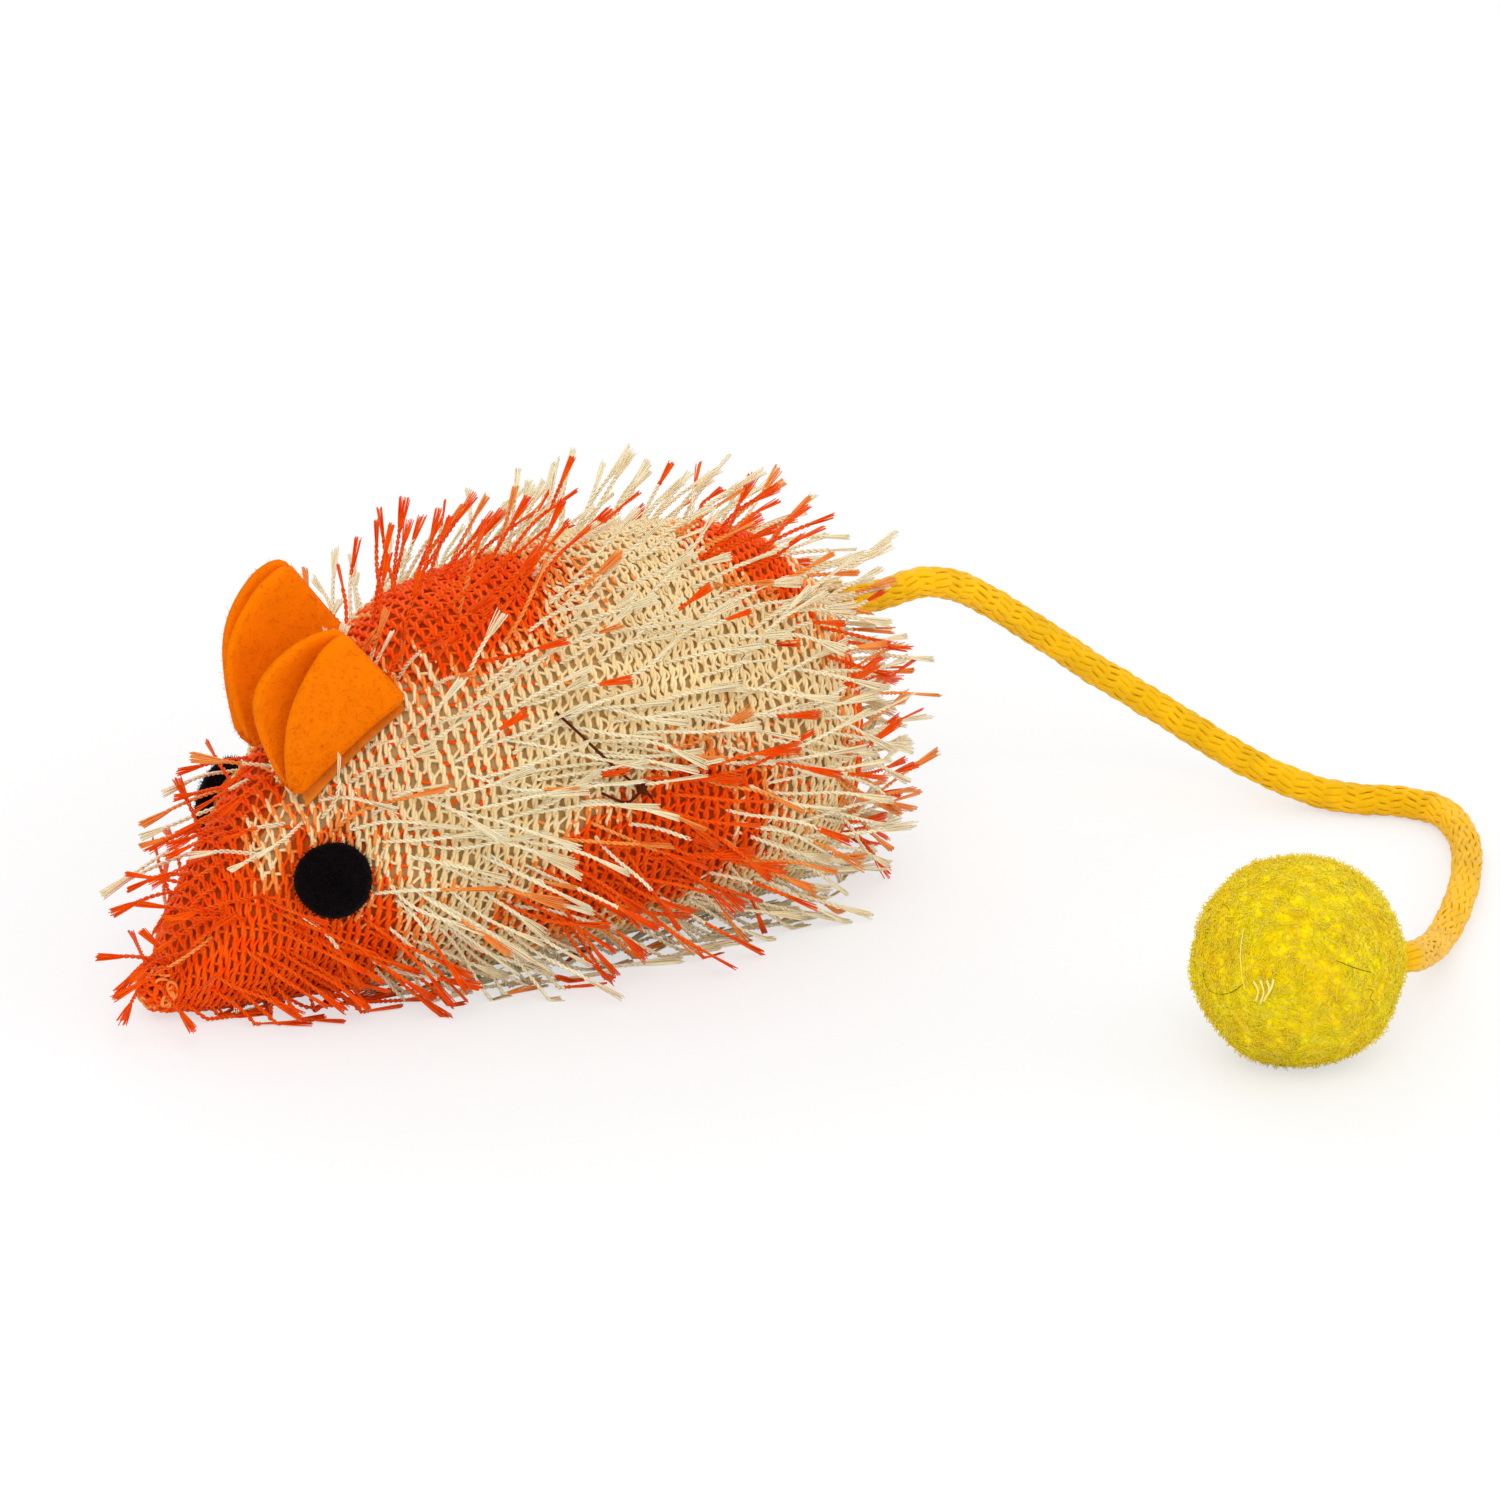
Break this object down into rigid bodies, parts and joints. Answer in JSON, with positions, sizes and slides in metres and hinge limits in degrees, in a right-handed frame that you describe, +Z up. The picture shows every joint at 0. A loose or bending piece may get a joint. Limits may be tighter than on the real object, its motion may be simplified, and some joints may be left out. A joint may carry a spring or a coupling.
{
  "type": "catnip mouse",
  "caption": "Stuffed cat toy mouse in an eyelash-knit sleeve with felt ears and eyes, and a cord tail that ends in a pompom.",
  "frame": {"origin": "on the surface that the mouse rests on, under the middle of the body's length", "axes": "+X from the nose towards the tail, +Y towards the mouse's right side, +Z up"},
  "size_m": [0.1397, 0.0989, 0.048],
  "materials": {
    "knit_cream": "open knit of cream yarn with a dull lustre",
    "knit_rust": "open knit of rust orange yarn with a dull lustre",
    "liner": "plain woven cotton",
    "fibre": "loose white fibre",
    "sheet": "thin non-woven",
    "catnip": "dry crumbled leaf",
    "felt_black": "felt",
    "felt_orange": "felt",
    "glue": "dry hot glue",
    "thread": "twisted thread",
    "cord": "satin braid",
    "pile": "dense trimmed pile"
  },
  "bodies": {
    "mouse": {"knit_cover": "knit_cream", "eyelash_tufts_nose": "knit_rust", "eyelash_tufts_back": "knit_cream", "eyelash_tufts_left": "knit_cream", "eyelash_tufts_right": "knit_cream", "nose_gather_thread": "thread", "rump_gather_thread": "thread", "liner_bag": "liner", "sachet_top_sheet": "sheet", "sachet_bottom_sheet": "sheet", "dried_catnip": "catnip", "stuffing_upper": "fibre", "stuffing_lower": "fibre", "left_eye": "felt_black", "left_eye_glue": "glue", "left_ear": "felt_orange", "left_ear_glue": "glue", "right_eye": "felt_black", "right_eye_glue": "glue", "right_ear": "felt_orange", "right_ear_glue": "glue", "tail_anchor_knot": "cord"},
    "tail": {"tail_cord": "cord", "tail_end_knot": "cord", "pompom": "pile", "pompom_binding": "pile"}
  },
  "joints": [
    {"name": "tail_swing", "type": "hinge", "parent": "mouse", "child": "tail", "pos_m": [0.04013, 0, 0.02695], "axis": [0, 0, 1], "range_deg": [-45, 45]}
  ]
}
